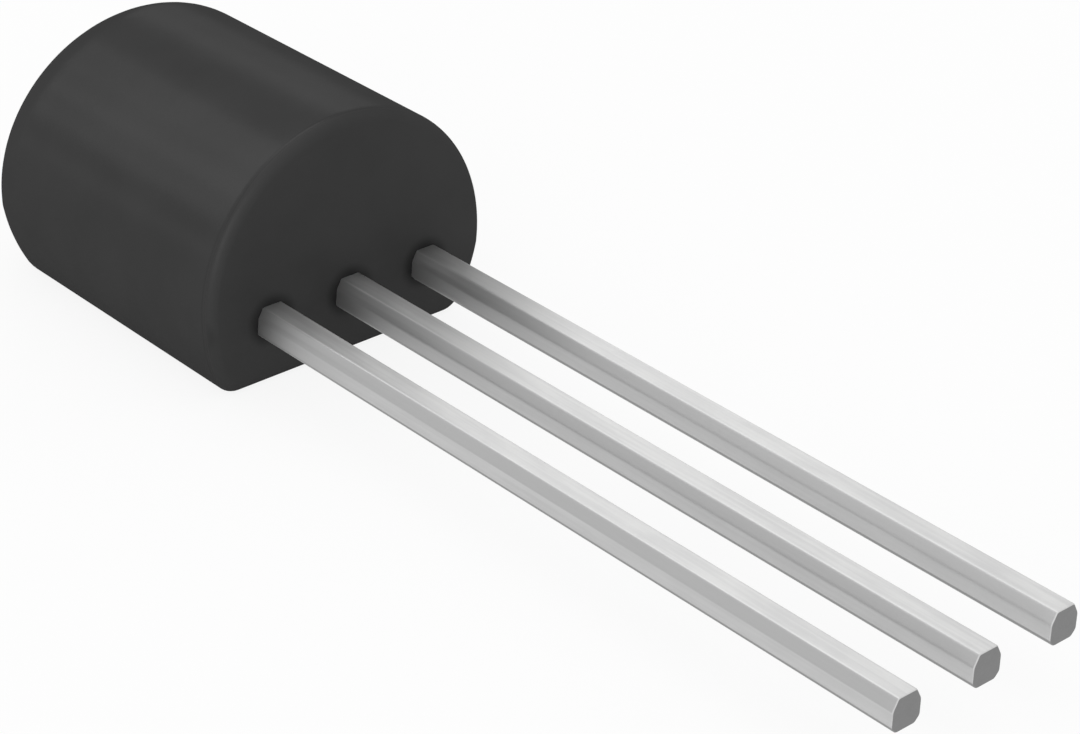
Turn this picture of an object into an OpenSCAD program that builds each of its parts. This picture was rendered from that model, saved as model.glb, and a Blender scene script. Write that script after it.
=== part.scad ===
// Three-lead voltage regulator in a moulded body with one flat side.
// It lies on its flat: X runs across the leads, Y along them towards their
// tips, Z up from the flat. The origin is the centre of the flat.
// All sizes are in millimetres and all angles in degrees.

/* [Moulded body] */
// Radius of the round side
body_radius = 2.26; // [2.1:0.01:2.5]
// Length of the body along the leads
body_length = 5.35; // [4.9:0.05:6.2]
// Height of the round side's axis above the flat
axis_height = 1.23; // [1.15:0.01:1.35]
// Rounding of the two long corners beside the flat
corner_radius = 0.32; // [0.1:0.01:0.45]
// Rounding round the end that the leads leave
front_rounding = 0.16; // [0.05:0.01:0.3]
// Rounding round the other end
back_rounding = 0.75; // [0.1:0.05:0.8]
// Draft of the front end, from the leads down to the flat
front_draft = 6; // [0:0.5:8]
// Draft of the back end, on both sides of the leads' plane
back_draft = 5; // [0:0.5:8]

/* [Leads] */
// Distance from one lead to the next
lead_pitch = 1.27; // [1.2:0.01:1.4]
// Width of a lead
lead_width = 0.45; // [0.38:0.01:0.55]
// Thickness of the metal strip that the leads are punched from
strip_thickness = 0.45; // [0.36:0.01:0.52]
// Leg of the coined bevel along a lead's corners
lead_bevel = 0.08; // [0.02:0.01:0.12]
// Height of the strip's middle plane above the flat
lead_height = 0.98; // [0.9:0.01:1.1]
// Length of a lead outside the body
lead_length = 11.1; // [5:0.1:16]

/* [Lead frame inside the body] */
// Length of plain lead between the front of the body and the posts
post_setback = 0.9; // [0.5:0.05:1.1]
// Width of the posts that end the two outer leads
post_width = 0.95; // [0.7:0.05:1.2]
// Length of the posts along the leads
post_length = 1.2; // [0.9:0.05:1.4]
// Gap between the posts and the paddle
frame_gap = 0.35; // [0.2:0.05:0.5]
// Width of the paddle that ends the centre lead
paddle_width = 2.2; // [1.6:0.1:2.6]
// Length of the paddle along the leads
paddle_length = 1.85; // [1.6:0.05:2]
// Radius of the corners of the posts and the paddle
punch_radius = 0.1; // [0.05:0.01:0.2]

/* [Regulator die] */
// Width of the die across the leads
die_width = 1.3; // [1:0.05:1.4]
// Length of the die along the leads
die_length = 1.25; // [1:0.05:1.4]
// Thickness of the die
die_thickness = 0.25; // [0.15:0.01:0.35]
// Thickness of the bonding layer under the die
attach_thickness = 0.03; // [0.02:0.005:0.06]
// How far the bonding layer reaches past the die's edges
attach_margin = 0.06; // [0.02:0.01:0.1]

/* [Bond wires] */
// Diameter of the wire
wire_diameter = 0.05; // [0.03:0.005:0.08]
// Straight rise of a wire above the die before it bends over
wire_rise = 0.2; // [0.1:0.01:0.4]
// Radius of the bend, at the wire's middle
bend_radius = 0.12; // [0.08:0.01:0.2]
// Diameter of the ball that joins a wire to the die
ball_diameter = 0.11; // [0.1:0.005:0.16]
// Height of the flattened ball
ball_height = 0.03; // [0.02:0.005:0.05]
// Width of the stitch that joins a wire to the lead frame
stitch_width = 0.1; // [0.09:0.005:0.15]
// Length of the stitch
stitch_length = 0.2; // [0.16:0.01:0.3]
// Thickness of the stitch
stitch_thickness = 0.02; // [0.015:0.005:0.03]
// Distance of the bonds from the die's front edge
pad_inset = 0.15; // [0.1:0.01:0.3]
// Distance from the centre bond to the bonds of the outer wires
pad_spacing = 0.4; // [0.2:0.05:0.42]
// Distance of the outer wires' stitches from the posts' back edges
post_landing = 0.35; // [0.25:0.05:0.6]
// Distance of the ground wire's stitch from the paddle's front edge
neck_landing = 0.3; // [0.2:0.05:0.5]

/* [Hidden] */
// Half lengths and heights that several pieces share.
front_y = body_length / 2;
back_y = -body_length / 2;
strip_top = lead_height + strip_thickness / 2;
strip_bottom = lead_height - strip_thickness / 2;
post_front = front_y - post_setback;
post_back = post_front - post_length;
paddle_front = post_back - frame_gap;
paddle_mid = paddle_front - paddle_length / 2;
die_bottom = strip_top + attach_thickness;
die_top = die_bottom + die_thickness;
pad_y = paddle_mid + die_length / 2 - pad_inset;

// Facets of the body: along the round side, from the leads' plane down to
// a corner, round a corner, and across an end rounding.
ROUND_STEPS = 44;
LOWER_STEPS = 4;
CORNER_STEPS = 6;
EDGE_STEPS = 6;
// Smallest corner radius left where an end rounding is larger than it.
LEAST_CORNER = 0.05;
// Facets of the small round pieces.
$fn = 32;

MOULD_BLACK = [0.21, 0.21, 0.215];
TINNED = [0.82, 0.82, 0.81];
SILICON = [0.36, 0.38, 0.42];
ATTACH_SILVER = [0.66, 0.66, 0.64];
GOLD = [0.9, 0.72, 0.3];

// Points of an arc about a centre, from one angle to another. The first
// point is left out, because the outline already ends there.
function arc_on(centre, radius, from, to, steps) =
    [for (i = [1 : steps])
        let (a = from + (to - from) * i / steps)
        centre + radius * [cos(a), sin(a)]];

// Outline of the body's section, moved inwards by inset: a circle cut off
// by the flat, with a rounded corner at each side. A point lies at the
// leads' height on each side, where the two halves of the mould part.
function section(inset) =
    let (corner = max(corner_radius - inset, LEAST_CORNER),
         radius = body_radius - inset,
         corner_z = inset + corner,
         corner_x = sqrt((radius - corner) ^ 2 - (axis_height - corner_z) ^ 2),
         corner_angle = atan2(corner_z - axis_height, corner_x),
         parting_angle = asin((lead_height - axis_height) / radius),
         axis = [0, axis_height])
    concat([[corner_x, inset]],
           arc_on([corner_x, corner_z], corner, -90, corner_angle, CORNER_STEPS),
           arc_on(axis, radius, corner_angle, parting_angle, LOWER_STEPS),
           arc_on(axis, radius, parting_angle, 180 - parting_angle, ROUND_STEPS),
           arc_on(axis, radius, 180 - parting_angle, 180 - corner_angle, LOWER_STEPS),
           arc_on([-corner_x, corner_z], corner, 180 - corner_angle, 270, CORNER_STEPS));

// How far the draft sets each end back at a height above the flat.
function front_setback(z) = tan(front_draft) * max(lead_height - z, 0);
function back_setback(z) = tan(back_draft) * abs(lead_height - z);

// One ring of an end rounding. At turn 0 it borders the end face, and at
// turn 90 it has reached the full section.
function front_ring(turn) =
    [for (p = section(front_rounding * (1 - sin(turn))))
        [p.x, front_y - front_rounding * (1 - cos(turn)) - front_setback(p.y), p.y]];
function back_ring(turn) =
    [for (p = section(back_rounding * (1 - sin(turn))))
        [p.x, back_y + back_rounding * (1 - cos(turn)) + back_setback(p.y), p.y]];

// The body's outer form: one skin lofted through the rings, from the front
// face to the back face, each of them in two planes that meet at the leads.
module mould_form() {
    turns = [for (i = [0 : EDGE_STEPS]) 90 * i / EDGE_STEPS];
    rings = concat([for (turn = turns) front_ring(turn)],
                   [for (i = [EDGE_STEPS : -1 : 0]) back_ring(turns[i])]);
    count = len(rings[0]);
    last = len(rings) - 1;
    full = EDGE_STEPS;
    right = CORNER_STEPS + LOWER_STEPS;
    left = right + ROUND_STEPS;
    upper = [for (j = [right : left]) j];
    lower = concat([for (j = [left : count - 1]) j], [for (j = [0 : right]) j]);
    function reverse(list) = [for (i = [len(list) - 1 : -1 : 0]) list[i]];
    function on_ring(list, i) = [for (j = list) i * count + j];
    sides = [for (i = [0 : last - 1]) for (j = [0 : count - 1])
                let (k = (j + 1) % count,
                     a = i * count + j,
                     b = (i + 1) * count + j,
                     c = (i + 1) * count + k,
                     d = i * count + k)
                each i == full ? [[a, b, c, d]] : [[a, b, c], [a, c, d]]];
    ends = [on_ring(upper, 0), on_ring(lower, 0),
            on_ring(reverse(upper), last), on_ring(reverse(lower), last)];
    polyhedron(points = [for (ring = rings) each ring], faces = concat(sides, ends));
}

// A lead's bar from one place to another along Y: the punched strip with
// its four corners coined to bevels.
module lead_bar(x, from, to) {
    a = lead_width / 2;
    b = strip_thickness / 2;
    c = lead_bevel;
    translate([x, from, lead_height])
        rotate([-90, 0, 0])
            linear_extrude(to - from)
                polygon([[a - c, -b], [a, c - b], [a, b - c], [a - c, b],
                         [c - a, b], [-a, b - c], [-a, c - b], [c - a, -b]]);
}

// A flat of the strip's full thickness with punched, rounded corners.
module punched_plate(x, y, width, length) {
    straight_x = width - 2 * punch_radius;
    straight_y = length - 2 * punch_radius;
    translate([x, y, strip_bottom])
        linear_extrude(strip_thickness)
            union() {
                square([width, straight_y], center = true);
                square([straight_x, length], center = true);
                for (sx = [-1, 1], sy = [-1, 1])
                    translate([sx * straight_x / 2, sy * straight_y / 2])
                        circle(r = punch_radius);
            }
}

// An outer lead: the bar, and the post inside the body that it ends in.
module outer_lead_form(x) {
    lead_bar(x, post_front - punch_radius, front_y + lead_length);
    punched_plate(x, (post_front + post_back) / 2, post_width, post_length);
}

// The centre lead: the bar passes between the posts and ends in the paddle.
module centre_lead_form() {
    lead_bar(0, paddle_front - punch_radius, front_y + lead_length);
    punched_plate(0, paddle_mid, paddle_width, paddle_length);
}

module die_form() {
    translate([-die_width / 2, paddle_mid - die_length / 2, die_bottom])
        cube([die_width, die_length, die_thickness]);
}

module attach_form() {
    width = die_width + 2 * attach_margin;
    length = die_length + 2 * attach_margin;
    translate([-width / 2, paddle_mid - length / 2, strip_top])
        cube([width, length, attach_thickness]);
}

// A bond wire from a place on the die to a place on the lead frame: a ball,
// a straight rise, a bend over, a straight run down, and a flattened stitch.
// The run leaves the bend along its tangent, so the two angles give its dip.
module wire_form(pad, landing) {
    reach = norm(landing - pad);
    heading = atan2(landing.y - pad.y, landing.x - pad.x);
    bend_z = die_top + wire_rise;
    end_z = strip_top + wire_diameter / 2;
    out = reach - bend_radius;
    drop = bend_z - end_z;
    run = sqrt(out ^ 2 + drop ^ 2 - bend_radius ^ 2);
    dip = atan2(drop, out) + atan2(bend_radius, run);
    translate([pad.x, pad.y, 0])
        rotate([0, 0, heading]) {
            translate([0, 0, die_top])
                cylinder(h = ball_height, d = ball_diameter);
            translate([0, 0, die_top])
                cylinder(h = wire_rise, d = wire_diameter);
            translate([bend_radius, 0, bend_z])
                rotate([90, 0, 0])
                    rotate([0, 0, 90 - dip])
                        bend_and_run(dip, run);
            translate([reach, 0, strip_top])
                stitch_pad();
        }
}

// The bend, and the straight run that leaves it at its low end.
module bend_and_run(dip, run) {
    rotate_extrude(angle = 90 + dip)
        translate([bend_radius, 0])
            circle(d = wire_diameter);
    translate([bend_radius, 0, 0])
        rotate([90, 0, 0])
            cylinder(h = run, d = wire_diameter);
}

// The stitch: a long pad with round ends.
module stitch_pad() {
    straight = stitch_length - stitch_width;
    linear_extrude(stitch_thickness)
        union() {
            square([straight, stitch_width], center = true);
            for (side = [-1, 1])
                translate([side * straight / 2, 0])
                    circle(d = stitch_width);
        }
}

module outer_wire_form(side) {
    wire_form([side * pad_spacing, pad_y], [side * lead_pitch, post_back + post_landing]);
}

module ground_wire_form() {
    wire_form([0, pad_y], [0, paddle_front + neck_landing]);
}

// The body is moulded round the finished lead frame, so its hollow is the
// lead frame, the die and the wires themselves.
module moulded_body() {
    color(MOULD_BLACK)
        difference() {
            mould_form();
            outer_lead_form(lead_pitch);
            centre_lead_form();
            outer_lead_form(-lead_pitch);
            attach_form();
            die_form();
            outer_wire_form(1);
            ground_wire_form();
            outer_wire_form(-1);
        }
}

module input_lead() {
    color(TINNED)
        outer_lead_form(lead_pitch);
}

module ground_lead() {
    color(TINNED)
        centre_lead_form();
}

module output_lead() {
    color(TINNED)
        outer_lead_form(-lead_pitch);
}

module regulator_die() {
    color(SILICON)
        die_form();
}

module die_attach() {
    color(ATTACH_SILVER)
        attach_form();
}

module input_wire() {
    color(GOLD)
        outer_wire_form(1);
}

module ground_wire() {
    color(GOLD)
        ground_wire_form();
}

module output_wire() {
    color(GOLD)
        outer_wire_form(-1);
}

moulded_body();
input_lead();
ground_lead();
output_lead();
regulator_die();
die_attach();
input_wire();
ground_wire();
output_wire();
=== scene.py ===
import math

import bpy
import numpy as np
from mathutils import Euler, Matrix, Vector


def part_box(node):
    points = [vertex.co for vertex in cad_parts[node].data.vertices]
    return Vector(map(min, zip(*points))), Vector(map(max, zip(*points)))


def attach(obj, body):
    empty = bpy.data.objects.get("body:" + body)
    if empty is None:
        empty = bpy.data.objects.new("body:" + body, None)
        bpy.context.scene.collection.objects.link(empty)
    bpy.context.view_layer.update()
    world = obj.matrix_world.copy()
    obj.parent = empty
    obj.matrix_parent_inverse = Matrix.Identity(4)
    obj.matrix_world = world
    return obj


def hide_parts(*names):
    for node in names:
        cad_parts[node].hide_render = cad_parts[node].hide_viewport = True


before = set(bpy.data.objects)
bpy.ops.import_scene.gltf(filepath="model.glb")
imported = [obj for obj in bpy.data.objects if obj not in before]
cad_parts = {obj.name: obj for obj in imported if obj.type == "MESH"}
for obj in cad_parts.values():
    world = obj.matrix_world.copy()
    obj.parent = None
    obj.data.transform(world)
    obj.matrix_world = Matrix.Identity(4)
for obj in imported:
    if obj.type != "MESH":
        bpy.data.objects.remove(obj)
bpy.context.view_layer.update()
MM = 0.001


# ---------------------------------------------------------------------------
# Camera. It stands a few centimetres off the tips of the leads and looks down
# their length at the body, through a long lens.
CAMERA_PLACE = Vector((22.228, 31.200, 20.274)) * MM
CAMERA_TURN = (60.536, -1.202, 138.773)
CAMERA_LENS = 104.11
SENSOR_WIDTH = 36.0
NEAREST_SEEN = 1.0 * MM
FURTHEST_SEEN = 10.0

camera_data = bpy.data.cameras.new("camera")
camera_data.sensor_width = SENSOR_WIDTH
camera_data.sensor_fit = "HORIZONTAL"
camera_data.lens = CAMERA_LENS
camera_data.clip_start = NEAREST_SEEN
camera_data.clip_end = FURTHEST_SEEN
camera = bpy.data.objects.new("camera", camera_data)
camera.location = CAMERA_PLACE
camera.rotation_euler = Euler([math.radians(turn) for turn in CAMERA_TURN])
bpy.context.scene.collection.objects.link(camera)
bpy.context.scene.camera = camera
bpy.context.scene.view_settings.view_transform = "Standard"


# ---------------------------------------------------------------------------
# Floor. A plain white sweep that the part lies on. What the camera and the
# tin see of it is mostly paper white, and the part's soft shadow stays on it.
class Value:
    """A number, vector or shader that a node gives. Sums on it add Math nodes."""

    def __init__(self, finish, socket):
        self.finish = finish
        self.socket = socket

    def math(self, operation, *values):
        return self.finish.node(
            "ShaderNodeMath", {"operation": operation}, dict(enumerate(values)))

    def __add__(self, other):
        return self.math("ADD", self, other)

    def __radd__(self, other):
        return self.math("ADD", other, self)

    def __sub__(self, other):
        return self.math("SUBTRACT", self, other)

    def __rsub__(self, other):
        return self.math("SUBTRACT", other, self)

    def __mul__(self, other):
        return self.math("MULTIPLY", self, other)

    def __rmul__(self, other):
        return self.math("MULTIPLY", other, self)

    def __truediv__(self, other):
        return self.math("DIVIDE", self, other)

    def __pow__(self, other):
        return self.math("POWER", self, other)

    def __abs__(self):
        return self.math("ABSOLUTE", self)

    def most(self, other):
        return self.math("MAXIMUM", self, other)

    def least(self, other):
        return self.math("MINIMUM", self, other)

    def from_nearest(self, pitch):
        """How far it is from the nearest place in a row, one of which is at 0."""
        return self.math("WRAP", self, pitch / 2, -pitch / 2)

    def step(self, low, high):
        """0 below low and 1 above high, with a smooth rise between them."""
        return self.finish.node(
            "ShaderNodeMapRange", {"interpolation_type": "SMOOTHSTEP"},
            {"Value": self, "From Min": low, "From Max": high})

    def beside(self, output):
        """Another output of the node that gives it."""
        return Value(self.finish, self.socket.node.outputs[output])


class Finish:
    """The nodes of one material, or of the world, round their main shader."""

    def __init__(self, owner, shader="Principled BSDF"):
        owner.use_nodes = True
        self.owner = owner
        self.nodes = owner.node_tree.nodes
        self.links = owner.node_tree.links
        self.shader = self.nodes[shader]

    def node(self, kind, settings=None, sockets=None, output=0):
        """Adds one node: its settings first, then the values or links of its sockets."""
        made = self.nodes.new(kind)
        for key, value in (settings or {}).items():
            setattr(made, key, value)
        for key, value in (sockets or {}).items():
            self.feed(made.inputs[key], value)
        return Value(self, made.outputs[output])

    def feed(self, socket, value):
        if isinstance(value, Value):
            self.links.new(value.socket, socket)
        else:
            socket.default_value = value

    def set(self, **sockets):
        """Feeds the main shader's sockets, named with underscores for spaces."""
        for key, value in sockets.items():
            self.feed(self.shader.inputs[key.replace("_", " ")], value)

    def lay_over(self, share, upper):
        """Lays a share of another shader over the main one."""
        lower = Value(self, self.shader.outputs[0])
        both = self.node("ShaderNodeMixShader", None, {0: share, 1: lower, 2: upper})
        self.feed(self.nodes["Material Output"].inputs["Surface"], both)

    def seen(self):
        """1 where the camera, a mirror or glass looks at it, 0 where it only lights."""
        camera = self.node("ShaderNodeLightPath", output="Is Camera Ray")
        return camera.most(camera.beside("Is Glossy Ray")).most(
            camera.beside("Is Transmission Ray"))

    def place(self):
        """The place on the piece, in metres."""
        return self.node("ShaderNodeTexCoord", output="Object")

    def noise(self, place, scale, detail):
        """A cloudy pattern around 0.5, of about scale clouds to a metre."""
        return self.node(
            "ShaderNodeTexNoise", None, {"Vector": place, "Scale": scale, "Detail": detail})

    def blend(self, factor, first, second):
        """A colour between two colours."""
        return self.node(
            "ShaderNodeMix", {"data_type": "RGBA"}, {0: factor, 6: first, 7: second}, output=2)

    def bump(self, height, depth):
        """A surface normal raised by a height from 0 to 1 times a depth in metres."""
        return self.node("ShaderNodeBump", None, {"Height": height, "Distance": depth})


FLOOR_HALF = 2.0
FLOOR_WHITE = (0.86, 0.86, 0.86, 1.0)
FLOOR_ROUGHNESS = 0.9
PAPER_WHITE = (1.0, 1.0, 1.0, 1.0)
PAPER_SHARE = 0.88


def floor_finish():
    """Matt white, mostly covered by plain paper white where it is looked at."""
    finish = Finish(bpy.data.materials.new("white_sweep"))
    finish.set(Base_Color=FLOOR_WHITE, Roughness=FLOOR_ROUGHNESS, Specular_IOR_Level=0.0)
    paper = finish.node("ShaderNodeEmission", None, {"Color": PAPER_WHITE, "Strength": 1.0})
    finish.lay_over(finish.seen() * PAPER_SHARE, paper)
    return finish.owner


floor_mesh = bpy.data.meshes.new("floor")
floor_mesh.from_pydata(
    [(-FLOOR_HALF, -FLOOR_HALF, 0), (FLOOR_HALF, -FLOOR_HALF, 0),
     (FLOOR_HALF, FLOOR_HALF, 0), (-FLOOR_HALF, FLOOR_HALF, 0)], [], [(0, 1, 2, 3)])
floor_mesh.materials.append(floor_finish())
floor = bpy.data.objects.new("floor", floor_mesh)
bpy.context.scene.collection.objects.link(floor)


# ---------------------------------------------------------------------------
# Lamps. Soft boxes round and over the part at a plain level, in a pale room.
# The strips beyond the body give the long, faint bands along its round side.
PART_MIDDLE = Vector((0.0, 0.0, 1.2)) * MM
LAMP_DISTANCE = 0.30
ROOM_LEVEL = 0.80
ROOM_LEVEL_SEEN = 0.965
SOFT_BOXES = (
    # name, azimuth, elevation, width, height, level
    ("top_box", 0, 88, 0.36, 0.36, 0.3),
    ("left_box", 58, 18, 0.16, 0.20, 1.6),
    ("high_back_box", -172, 58, 0.18, 0.10, 0.8),
    ("right_low_strip", -141, 12, 0.10, 0.06, 0.85),
    ("right_strip", -144, 25, 0.10, 0.05, 1.25),
    ("back_strip", 172, 44, 0.08, 0.05, 1.15),
    ("left_high_strip", 158, 39, 0.07, 0.05, 1.1),
    ("left_strip", 148, 32, 0.06, 0.05, 1.5),
    ("left_low_strip", 142, 22, 0.06, 0.05, 1.05),
    ("floor_strip", 137, 4, 0.06, 0.03, 0.5))


def soft_box(name, azimuth, elevation, width, height, level):
    """A flat lamp that faces the part. Azimuth is from +Y towards +X. Level
    is the brightness that a mirror would show, where 1 is white."""
    turn, rise = math.radians(azimuth), math.radians(elevation)
    away = Vector((
        math.sin(turn) * math.cos(rise), math.cos(turn) * math.cos(rise), math.sin(rise)))
    lamp = bpy.data.lights.new(name, "AREA")
    lamp.shape = "RECTANGLE"
    lamp.size = width
    lamp.size_y = height
    lamp.energy = level * math.pi * width * height
    box = bpy.data.objects.new(name, lamp)
    box.location = PART_MIDDLE + away * LAMP_DISTANCE
    box.rotation_euler = away.to_track_quat("Z", "Y").to_euler()
    bpy.context.scene.collection.objects.link(box)


for sizes in SOFT_BOXES:
    soft_box(*sizes)

room = Finish(bpy.data.worlds.new("studio"), "Background")
room.set(
    Color=PAPER_WHITE,
    Strength=ROOM_LEVEL + (ROOM_LEVEL_SEEN - ROOM_LEVEL) * room.seen())
bpy.context.scene.world = room.owner


# ---------------------------------------------------------------------------
# Moulded body. One piece of black filled epoxy, moulded round the lead frame
# in a two-part mould that meets at the leads' plane: round on top, flat
# below, with drafted ends and a larger rounding at the end away from the leads.
body_low, body_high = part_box("moulded_body")
FRONT_Y = body_high.y
BACK_Y = body_low.y
BODY_RADIUS = 2.26 * MM
AXIS_HEIGHT = body_high.z - BODY_RADIUS
CORNER_RADIUS = 0.32 * MM
LEAST_CORNER = 0.05 * MM
FRONT_ROUNDING = 0.16 * MM
BACK_ROUNDING = 0.75 * MM
FRONT_DRAFT = math.tan(math.radians(6))
BACK_DRAFT = math.tan(math.radians(5))
LEAD_HEIGHT = 0.98 * MM
LEAD_PITCH = 1.27 * MM
FLAT_STEPS, CORNER_STEPS, LOWER_STEPS, ROUND_STEPS = 24, 16, 12, 180
EDGE_STEPS, SIDE_STEPS, FACE_STEPS = 16, 40, 12

EPOXY_BLACK = (0.0238, 0.0238, 0.0238, 1.0)
EPOXY_GREY = (0.0272, 0.0272, 0.0272, 1.0)
EPOXY_ROUGHNESS = 0.8
EPOXY_CLOUDS = 900.0
EPOXY_GRAIN = 22000.0
EPOXY_RELIEF = 1.2e-6
PATTERN_CONTRAST = (0.3, 0.7)
SKIN_COLOUR = (0.9, 0.9, 0.9, 1.0)
SKIN_SHARE = 0.0232
SKIN_ROUGHNESS = 0.20
SKIN_UNEVENNESS = 0.04
FACE_EXTRA_ROUGHNESS = 0.36
FACE_STARTS = 0.13 * MM
FACE_IS_FULL = 0.01 * MM
# Painted shade: a darker ring round each lead's root and a faint dark line on the front rounding,
# both also dulling the skin.
PAINTED_RING_SHADE_BLACK = (0.0155, 0.0155, 0.0155, 1.0)
PAINTED_RING_SHADE_INSIDE = 0.22 * MM
PAINTED_RING_SHADE_OUTSIDE = 0.43 * MM
PAINTED_SHADE_DULLING = 0.6
SHADE_LINE_WIDTH = 0.02 * MM
SHADE_LINE_SHARE = 0.25


def arc(centre_x, centre_z, radius, start, end, steps):
    """Arcs from a start angle to an end angle, one to a row, without their
    first points: centre + radius * (cos, sin) of evenly spaced angles."""
    angle = start + (end - start) * np.arange(1, steps + 1) / steps
    return np.stack([centre_x + radius * np.cos(angle), centre_z + radius * np.sin(angle)], -1)


def body_outlines(inset):
    """The body's outline across the leads, one to a row, each moved inwards by
    its inset: a circle cut off by the flat, with a corner arc that touches the
    circle and the flat on each side. A point lies at the leads' height."""
    inset = inset[:, None]
    corner = np.maximum(CORNER_RADIUS - inset, LEAST_CORNER)
    radius = BODY_RADIUS - inset
    corner_z = inset + corner
    corner_x = np.sqrt((radius - corner) ** 2 - (AXIS_HEIGHT - corner_z) ** 2)
    low = np.arctan2(corner_z - AXIS_HEIGHT, corner_x)
    parting = np.arcsin((LEAD_HEIGHT - AXIS_HEIGHT) / radius)
    across_flat = np.linspace(-1, 1, FLAT_STEPS + 1)[1:]
    flat = np.stack([corner_x * across_flat, np.repeat(inset, FLAT_STEPS, 1)], -1)
    return np.concatenate([
        arc(corner_x, corner_z, corner, -math.pi / 2, low, CORNER_STEPS),
        arc(0, AXIS_HEIGHT, radius, low, parting, LOWER_STEPS),
        arc(0, AXIS_HEIGHT, radius, parting, math.pi - parting, ROUND_STEPS),
        arc(0, AXIS_HEIGHT, radius, math.pi - parting, math.pi - low, LOWER_STEPS),
        arc(-corner_x, corner_z, corner, math.pi - low, 1.5 * math.pi, CORNER_STEPS),
        flat], 1)


def turned_edge(rounding, end_y, inward, draft_above, draft_below):
    """Rings over one rounded end, from its face to its side. At a turn t the
    outline is inset by rounding * (1 - sin t) and lies rounding * (1 - cos t)
    inside the end, which also leans inwards away from the leads' height."""
    turn = np.linspace(0, math.pi / 2, EDGE_STEPS + 1)
    x, z = np.moveaxis(body_outlines(rounding * (1 - np.sin(turn))), -1, 0)
    above = np.maximum(z - LEAD_HEIGHT, 0)
    below = np.maximum(LEAD_HEIGHT - z, 0)
    depth = rounding * (1 - np.cos(turn))[:, None] + draft_above * above + draft_below * below
    return np.stack([x, end_y + inward * depth, z], -1)


def between(start, end, steps):
    """Rings evenly spaced between two rings, without those two."""
    share = np.linspace(0, 1, steps + 1)[1:-1, None, None]
    return start + (end - start) * share


def body_rings():
    """The body as rings from the middle of its front face over its front
    rounding, side and back rounding to the middle of its back face."""
    front = turned_edge(FRONT_ROUNDING, FRONT_Y, -1, 0, FRONT_DRAFT)
    back = turned_edge(BACK_ROUNDING, BACK_Y, 1, BACK_DRAFT, BACK_DRAFT)[::-1]
    first = np.array([0, FRONT_Y, LEAD_HEIGHT])
    last = np.array([0, BACK_Y, LEAD_HEIGHT])
    rings = np.concatenate([
        between(first, front[0], FACE_STEPS), front,
        between(front[-1], back[0], SIDE_STEPS), back,
        between(back[-1], last, FACE_STEPS)])
    return rings, first, last


def close_grid(rings, first, last):
    """Faces of a closed form: a quad between each two neighbouring places on
    neighbouring rings, and a fan from each end's middle point to its ring."""
    count, around = rings.shape[:2]
    places = np.arange(count * around).reshape(count, around)
    following = np.roll(places, -1, axis=1)
    quads = np.stack([places[:-1], places[1:], following[1:], following[:-1]], -1)
    first_fan = np.stack([np.full(around, count * around), places[0], following[0]], -1)
    last_fan = np.stack([np.full(around, count * around + 1), following[-1], places[-1]], -1)
    points = np.concatenate([rings.reshape(-1, 3), [first, last]])
    return points, quads.reshape(-1, 4).tolist() + first_fan.tolist() + last_fan.tolist()


def piece_from(name, points, faces, material):
    """An object at the origin, with smooth faces and one material."""
    mesh = bpy.data.meshes.new(name)
    mesh.from_pydata(points.tolist(), [], faces)
    mesh.polygons.foreach_set("use_smooth", np.ones(len(mesh.polygons), bool))
    mesh.materials.append(material)
    mesh.update()
    piece = bpy.data.objects.new(name, mesh)
    bpy.context.scene.collection.objects.link(piece)
    return piece


def epoxy_finish():
    """Black filled epoxy: a matt black with a thin satin skin that mirrors the
    same small share of the light at every angle. The front face is rougher.
    Painted shade darkens the resin and dulls the skin in a ring round each lead
    and, faintly, in a line where the front rounding meets the side. Places along
    the body are taken with the front face's lean undone."""
    finish = Finish(bpy.data.materials.new("black_epoxy"))
    place = finish.place()
    across = finish.node("ShaderNodeSeparateXYZ", None, {"Vector": place}, output="X")
    up = across.beside("Z")
    lean = (LEAD_HEIGHT - up).most(0.0) * FRONT_DRAFT
    along = across.beside("Y") + lean
    front = along.step(FRONT_Y - FACE_STARTS, FRONT_Y - FACE_IS_FULL)
    from_lead = (across.from_nearest(LEAD_PITCH) ** 2.0 + (up - LEAD_HEIGHT) ** 2.0) ** 0.5
    # painted shade: the front face is painted darker in a ring round each lead's root
    painted_ring_shade = front * (1.0 - from_lead.step(PAINTED_RING_SHADE_INSIDE, PAINTED_RING_SHADE_OUTSIDE))
    from_line = abs(along - (FRONT_Y - FRONT_ROUNDING))
    # painted shade: a faint dark line painted where the front rounding meets the side
    painted_shade_line = (1.0 - from_line.step(0.0, SHADE_LINE_WIDTH)) * SHADE_LINE_SHARE
    painted_shade = painted_ring_shade.most(painted_shade_line)
    cloud = finish.noise(place, EPOXY_CLOUDS, 3.0)
    grain = finish.noise(place, EPOXY_GRAIN, 2.0)
    relief = finish.bump(grain, EPOXY_RELIEF)
    black = finish.blend(cloud.step(*PATTERN_CONTRAST), EPOXY_BLACK, EPOXY_GREY)
    finish.set(
        Base_Color=finish.blend(painted_shade, black, PAINTED_RING_SHADE_BLACK),
        Roughness=EPOXY_ROUGHNESS,
        Specular_IOR_Level=0.0,
        Normal=relief)
    roughness = SKIN_ROUGHNESS + SKIN_UNEVENNESS * (cloud + grain) + FACE_EXTRA_ROUGHNESS * front
    skin = finish.node("ShaderNodeBsdfPrincipled", None, {
        "Base Color": SKIN_COLOUR, "Metallic": 1.0, "Roughness": roughness, "Normal": relief})
    finish.lay_over(SKIN_SHARE * (1.0 - PAINTED_SHADE_DULLING * painted_shade), skin)
    return finish.owner


body = piece_from("epoxy_body", *close_grid(*body_rings()), epoxy_finish())
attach(body, "root")
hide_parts("moulded_body")


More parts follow.
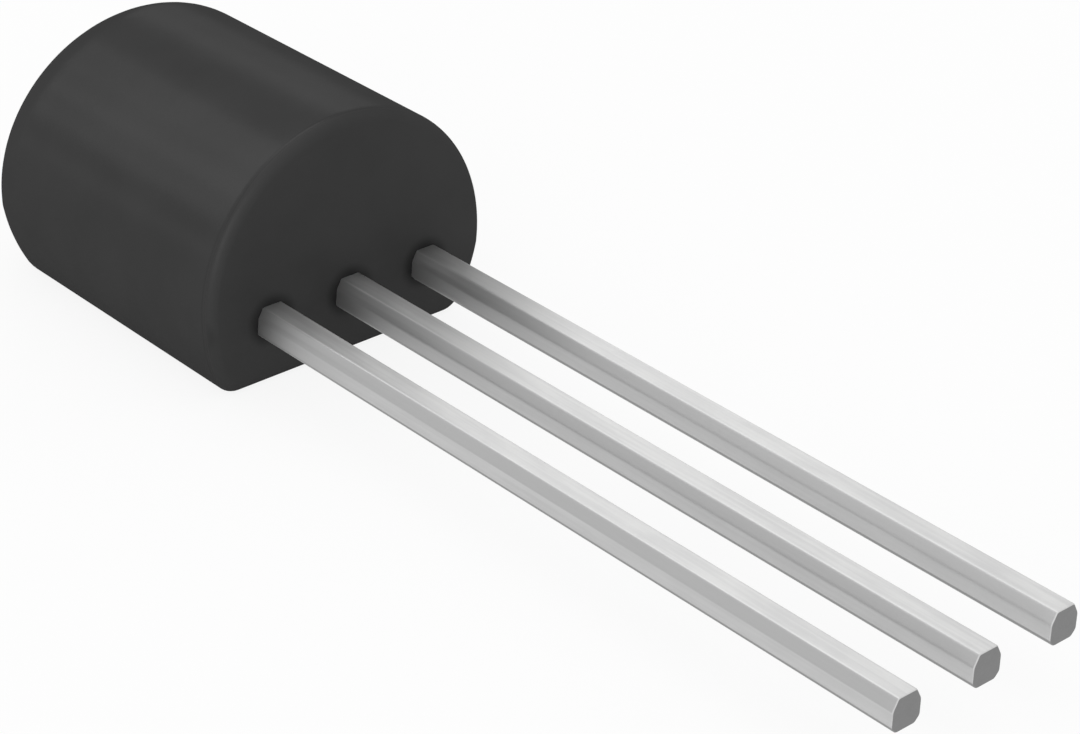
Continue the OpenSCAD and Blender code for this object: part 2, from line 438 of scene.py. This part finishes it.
# ---------------------------------------------------------------------------
# Leads. Three strips punched from one sheet of metal, coined along their
# corners, tinned, and cut square at their tips. Inside the body the outer two
# end in posts for the bond wires, the centre one in the paddle under the die.
BAR_HALF = 0.225 * MM
LEAD_BEVEL = 0.08 * MM
ROLL_DEPTH = 0.15 * MM
SIDE_SOFTNESS = 0.030 * MM
FACE_SOFTNESS = 0.025 * MM
TIP_ROUNDING = 0.020 * MM
PUNCH_RADIUS = 0.1 * MM
POST_SETBACK = 0.9 * MM
POST_LENGTH = 1.2 * MM
FRAME_GAP = 0.35 * MM
LEAD_SIDE_STEPS, LEAD_SOFT_STEPS, TIP_STEPS = 6, 5, 4
BAR_STEPS, PLATE_STEPS, PUNCH_STEPS = 60, 8, 8
post_front = FRONT_Y - POST_SETBACK
post_back = post_front - POST_LENGTH
paddle_front = post_back - FRAME_GAP

TIN_BRIGHT = (0.670, 0.670, 0.666, 1.0)
TIN_DULL = (0.580, 0.580, 0.580, 1.0)
# The sheared sides' colours are partly painted shade; the bevels', root, lead-by-lead and cut-tip
# colours below are painted shade.
TIN_SHEARED_AND_SHADED = (0.532, 0.532, 0.532, 1.0)
TIN_SMOOTHED_AND_SHADED = (0.595, 0.595, 0.595, 1.0)
TIN_UPPER_BEVEL_SHADE = (0.445, 0.445, 0.445, 1.0)
TIN_UPPER_BEVEL_SHADE_LAST = (0.515, 0.515, 0.515, 1.0)
TIN_LOWER_BEVEL_SHADE = (0.305, 0.305, 0.305, 1.0)
TIN_ROOT_SHADE = (0.370, 0.370, 0.370, 1.0)
TIN_LEAD_SHADE = (0.087, 0.087, 0.087, 1.0)
CUT_METAL_AND_SHADE = (0.266, 0.266, 0.266, 1.0)
TIN_ROUGHNESS = 0.51
TONE_ROUGHNESS = 0.06
CUT_ROUGHNESS = 0.1
TIN_RELIEF = 1.5e-6
TIN_LINES = (26000.0, 420.0, 26000.0)
TIN_PATCHES = (6000.0, 1300.0, 6000.0)
TIN_GRAIN = 60000.0
LINE_RELIEF_SHARE = 0.8
ROOT_SHADE_LENGTH = 0.7 * MM
SIDE_ROOT_SHADE_LENGTH = 3.5 * MM
LEAD_SHADE_SHARE = 0.55
LEAD_SHADE_PLACE = 3.0 * MM
LEAD_SHADE_SHIFT = 1.8 * MM
LEAD_SHADE_REACH = 2.2 * MM
LEAD_SHADE_OFF_EDGES = 0.7
ROLL_SLOPE = ROLL_DEPTH / LEAD_BEVEL
UPPER_BEVEL_FACE = (BAR_HALF - LEAD_BEVEL) * ROLL_SLOPE + BAR_HALF
LOWER_BEVEL_FACE = 2 * BAR_HALF - LEAD_BEVEL
SHEARED_FADE = (0.020 * MM, 0.080 * MM)
UPPER_BEVEL_FADE = (-0.018 * MM, -0.003 * MM)
LOWER_BEVEL_FADE = (-0.035 * MM, -0.015 * MM)
CUT_FADE = (-0.004 * MM, -0.001 * MM)


def lead_outlines(half_width, half_depth, inset):
    """A lead's outline, one to a row: a rectangle with bevelled corners, of
    which the upper two reach further down the sheared sides. Each edge of a
    bevel is softened by a curve (1-s)^2 * A + 2*s*(1-s) * C + s^2 * B, where C
    is the sharp edge and A and B lie one softness away on both sides."""
    across = half_width - inset
    up = half_depth - inset
    lost = inset * (2 - math.sqrt(2))
    bevel = LEAD_BEVEL - lost
    roll = ROLL_DEPTH - lost
    corner_x = np.stack([across, across, across - bevel, bevel - across,
                         -across, -across, bevel - across, across - bevel], 1)
    corner_z = np.stack([bevel - up, up - roll, up, up,
                         up - roll, bevel - up, -up, -up], 1)
    sharp = np.stack([corner_x, corner_z], -1)
    before = np.roll(sharp, 1, axis=1) - sharp
    after = np.roll(sharp, -1, axis=1) - sharp
    softness = np.array([SIDE_SOFTNESS, SIDE_SOFTNESS, FACE_SOFTNESS, FACE_SOFTNESS] * 2)[:, None]
    before = sharp + before / np.linalg.norm(before, axis=-1, keepdims=True) * softness
    after = sharp + after / np.linalg.norm(after, axis=-1, keepdims=True) * softness
    s = np.linspace(0, 1, LEAD_SOFT_STEPS + 1)[:, None]
    soft = ((1 - s) ** 2 * before[:, :, None] + 2 * s * (1 - s) * sharp[:, :, None]
            + s ** 2 * after[:, :, None])
    share = (1 - np.cos(np.linspace(0, math.pi, LEAD_SIDE_STEPS + 1)[1:-1, None])) / 2
    start, end = after[:, :, None], np.roll(before, -1, axis=1)[:, :, None]
    flat = start + (end - start) * share
    return np.concatenate([soft, flat], 2).reshape(len(sharp), -1, 2)


def plate_half_width(y, low, high, half_width):
    """Half the width of a punched plate at each place y: full between its
    rounded corners, and following their arcs at both ends."""
    from_end = np.minimum(y - low, high - y)
    into_corner = np.clip(PUNCH_RADIUS - from_end, 0, PUNCH_RADIUS)
    return half_width - PUNCH_RADIUS + np.sqrt(PUNCH_RADIUS ** 2 - into_corner ** 2)


def lead_rings(node, plate_low, plate_high):
    """A lead as a grid of rings from its tip to its inner end: the tip's small
    rounding, the long bar, and the plate, whose half width at each ring
    follows its punched outline. Both end faces shrink to their middle."""
    low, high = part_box(node)
    middle_x, middle_z = (low.x + high.x) / 2, (low.z + high.z) / 2
    half_depth = (high.z - low.z) / 2
    plate_half = (high.x - low.x) / 2
    turn = np.linspace(0, math.pi / 2, TIP_STEPS + 1)
    tip_y = high.y - TIP_ROUNDING * (1 - np.cos(turn))
    bar_y = np.linspace(high.y - TIP_ROUNDING, plate_high, BAR_STEPS + 1)[1:]
    corner = PUNCH_RADIUS * (1 - np.cos(np.linspace(0, math.pi / 2, PUNCH_STEPS + 1)))
    straight = np.linspace(plate_high - PUNCH_RADIUS, plate_low + PUNCH_RADIUS, PLATE_STEPS + 1)
    plate_y = np.concatenate([plate_high - corner, straight[1:-1], plate_low + corner[::-1]])
    y = np.concatenate([tip_y, bar_y, plate_y])
    inset = np.concatenate([TIP_ROUNDING * (1 - np.sin(turn)), np.zeros(len(y) - len(turn))])
    plate_x = plate_half_width(plate_y, plate_low, plate_high, plate_half)
    half_width = np.concatenate([np.full(len(y) - len(plate_y), BAR_HALF), plate_x])
    x, z = np.moveaxis(lead_outlines(half_width, half_depth, inset), -1, 0)
    rings = np.stack([middle_x + x, np.broadcast_to(y[:, None], x.shape), middle_z + z], -1)
    first = np.array([middle_x, high.y, middle_z])
    last = np.array([middle_x, plate_low, middle_z])
    rings = np.concatenate([
        between(first, rings[0], TIP_STEPS), rings, between(rings[-1], last, TIP_STEPS)])
    return rings, first, last


def tin_finish(tip):
    """Matt tin over a rolled, punched and coined strip: fine lines along its
    length. The sheared sides are darker, partly by their own duller finish and
    partly by painted shade. Painted shade darkens the upper bevels, most on the
    first lead, lays a dark line on the lower bevels and darkens the tin close to
    the body, further along the sides. The cut tip is bare metal, painted a dark
    grey as shade. A second painted shade near the body grows from the first
    lead, which has none, to the last."""
    finish = Finish(bpy.data.materials.new("tinned_strip"))
    place = finish.place()
    across = finish.node("ShaderNodeSeparateXYZ", None, {"Vector": place}, output="X")
    along = across.beside("Y")
    above = across.beside("Z") - LEAD_HEIGHT
    aside = abs(across.from_nearest(LEAD_PITCH))
    sheared = (aside - abs(above)).step(*SHEARED_FADE)
    upper_bevel = (aside * ROLL_SLOPE + above - UPPER_BEVEL_FACE).step(*UPPER_BEVEL_FADE)
    lower_bevel = (aside - above - LOWER_BEVEL_FACE).step(*LOWER_BEVEL_FADE)
    cut = (along - tip).step(*CUT_FADE)
    from_body = along - FRONT_Y
    near = (1.0 - from_body / ROOT_SHADE_LENGTH).most(0.0).least(1.0) ** 2.0
    far = (1.0 - from_body / SIDE_ROOT_SHADE_LENGTH).most(0.0).least(1.0) ** 2.0
    root = near + (far - near) * sheared
    last_lead = 0.5 - across * (0.5 / LEAD_PITCH)
    # painted shade near the body, none on the first lead and deepest on the last, kept off the
    # sides and upper bevels
    from_lead_shade = abs(from_body - LEAD_SHADE_PLACE + last_lead * LEAD_SHADE_SHIFT)
    shade_left = 1.0 - LEAD_SHADE_OFF_EDGES * sheared.most(upper_bevel)
    lead_shade = (1.0 - from_lead_shade.step(0.0, LEAD_SHADE_REACH)) * last_lead * shade_left * LEAD_SHADE_SHARE
    drawn = finish.node("ShaderNodeMapping", None, {"Vector": place, "Scale": TIN_LINES})
    smeared = finish.node("ShaderNodeMapping", None, {"Vector": place, "Scale": TIN_PATCHES})
    lines = finish.noise(drawn, 1.0, 3.0)
    patches = finish.noise(smeared, 1.0, 3.0)
    grain = finish.noise(place, TIN_GRAIN, 1.0)
    tone = (lines * 0.5 + patches * 0.5).step(*PATTERN_CONTRAST)
    tin = finish.blend(tone, TIN_DULL, TIN_BRIGHT)
    # partly real, partly painted shade: the sheared sides are darker by their own duller finish
    # and by painted shade
    tin = finish.blend(sheared, tin, finish.blend(tone, TIN_SHEARED_AND_SHADED, TIN_SMOOTHED_AND_SHADED))
    # painted shade: the upper bevels are painted darker, most on the first lead
    tin = finish.blend(upper_bevel, tin, finish.blend(last_lead, TIN_UPPER_BEVEL_SHADE, TIN_UPPER_BEVEL_SHADE_LAST))
    # painted shade: a dark line painted along the lower bevels
    tin = finish.blend(lower_bevel, tin, TIN_LOWER_BEVEL_SHADE)
    # painted shade and reflection: the tin is painted darker close to the body, further along the
    # sides
    tin = finish.blend(root, tin, TIN_ROOT_SHADE)
    # painted shade: the lead-by-lead darkening near the body
    tin = finish.blend(lead_shade, tin, TIN_LEAD_SHADE)
    relief = lines * LINE_RELIEF_SHARE + grain * (1 - LINE_RELIEF_SHARE)
    finish.set(
        # partly real, partly painted shade: the cut tip is bare metal, painted a dark grey as
        # shade
        Base_Color=finish.blend(cut, tin, CUT_METAL_AND_SHADE),
        Metallic=1.0,
        Roughness=TIN_ROUGHNESS + TONE_ROUGHNESS * tone + CUT_ROUGHNESS * cut,
        Normal=finish.bump(relief, TIN_RELIEF))
    return finish.owner


paddle_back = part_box("ground_lead")[0].y
tinned = tin_finish(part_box("ground_lead")[1].y)
for node, plate_low, plate_high in (
        ("input_lead", post_back, post_front),
        ("ground_lead", paddle_back, paddle_front),
        ("output_lead", post_back, post_front)):
    points, faces = close_grid(*lead_rings(node, plate_low, plate_high))
    lead = piece_from("tinned_" + node, points, faces, tinned)
    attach(lead, "root")
    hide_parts(node)


# ---------------------------------------------------------------------------
# Die. A sawn chip of silicon with a polished face, glued or soldered by its
# back to the paddle.
SILICON_DARK = (0.12, 0.13, 0.16, 1.0)
SILICON_PALE = (0.18, 0.19, 0.23, 1.0)
SILICON_CLOUDS = 3000.0
SILICON_METAL = 0.4
SILICON_ROUGHNESS = 0.15
SILICON_UNEVENNESS = 0.10


def silicon_finish():
    """Polished silicon: blue-grey, half metal in look, faintly cloudy."""
    finish = Finish(bpy.data.materials.new("polished_silicon"))
    cloud = finish.noise(finish.place(), SILICON_CLOUDS, 2.0)
    finish.set(
        Base_Color=finish.blend(cloud, SILICON_DARK, SILICON_PALE),
        Metallic=SILICON_METAL,
        Roughness=SILICON_ROUGHNESS + SILICON_UNEVENNESS * cloud)
    return finish.owner


def repaint(node, material):
    """Gives a carried-over solid its material."""
    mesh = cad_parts[node].data
    mesh.materials.clear()
    mesh.materials.append(material)


repaint("regulator_die", silicon_finish())


# ---------------------------------------------------------------------------
# Die bond. A thin bed of silver-filled paste between the die and the paddle,
# spread soft and cured hard.
PASTE_DARK = (0.45, 0.45, 0.43, 1.0)
PASTE_PALE = (0.68, 0.68, 0.66, 1.0)
PASTE_FLAKES = 40000.0
PASTE_METAL = 0.7
PASTE_ROUGHNESS = 0.45
PASTE_UNEVENNESS = 0.20
PASTE_RELIEF = 2e-6


def paste_finish():
    """Cured silver paste: a matt grey full of small bright flakes."""
    finish = Finish(bpy.data.materials.new("silver_paste"))
    flakes = finish.noise(finish.place(), PASTE_FLAKES, 3.0)
    finish.set(
        Base_Color=finish.blend(flakes, PASTE_DARK, PASTE_PALE),
        Metallic=PASTE_METAL,
        Roughness=PASTE_ROUGHNESS + PASTE_UNEVENNESS * flakes,
        Normal=finish.bump(flakes, PASTE_RELIEF))
    return finish.owner


repaint("die_attach", paste_finish())


# ---------------------------------------------------------------------------
# Bond wires. Drawn gold wires, each balled on the die, looped over, and
# stitched to a post or to the centre lead.
GOLD_DEEP = (0.80, 0.56, 0.20, 1.0)
GOLD_PALE = (0.94, 0.72, 0.32, 1.0)
GOLD_RUB = 30000.0
GOLD_ROUGHNESS = 0.20
GOLD_UNEVENNESS = 0.12


def gold_finish():
    """Drawn gold: bright metal with a fine, uneven rub."""
    finish = Finish(bpy.data.materials.new("drawn_gold"))
    rub = finish.noise(finish.place(), GOLD_RUB, 2.0)
    finish.set(
        Base_Color=finish.blend(rub, GOLD_DEEP, GOLD_PALE),
        Metallic=1.0,
        Roughness=GOLD_ROUGHNESS + GOLD_UNEVENNESS * rub)
    return finish.owner


gold = gold_finish()
for node in ("input_wire", "ground_wire", "output_wire"):
    repaint(node, gold)
